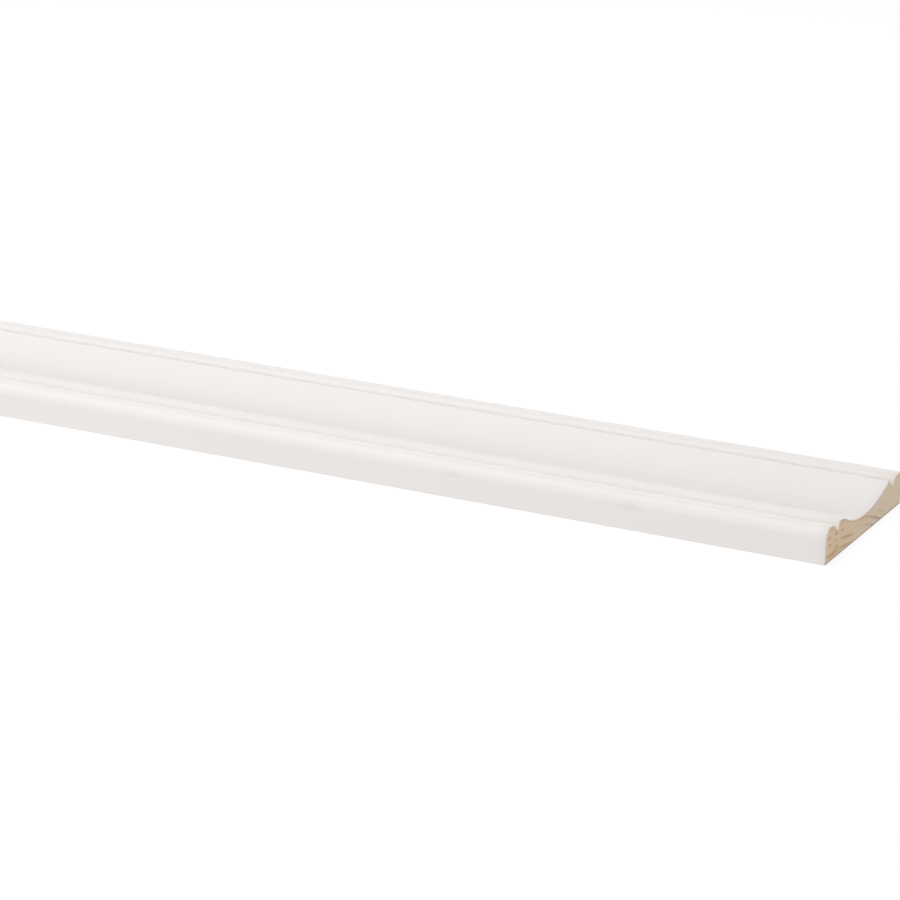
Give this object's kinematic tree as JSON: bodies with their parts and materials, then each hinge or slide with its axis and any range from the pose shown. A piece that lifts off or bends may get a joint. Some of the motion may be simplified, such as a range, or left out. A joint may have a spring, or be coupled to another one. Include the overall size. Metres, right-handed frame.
{
  "type": "decorative wood moulding",
  "caption": "Length of primed softwood moulding with a beaded thick edge, a wide shallow cove between narrow quirks and a flat far margin, cut square to trim walls, doors and ceilings.",
  "frame": {"origin": "middle of the flat back, which lies on the ground plane", "axes": "+X along the length, +Y across the width from the thick beaded edge to the far margin, +Z out of the back through the moulded face"},
  "size_m": [0.55, 0.095, 0.0175],
  "materials": {
    "primed_softwood": "matt warm white primer on the moulded face and both long edges, bare sawn end grain, bare planed back"
  },
  "bodies": {
    "root": {"moulding": "primed_softwood"}
  },
  "joints": []
}
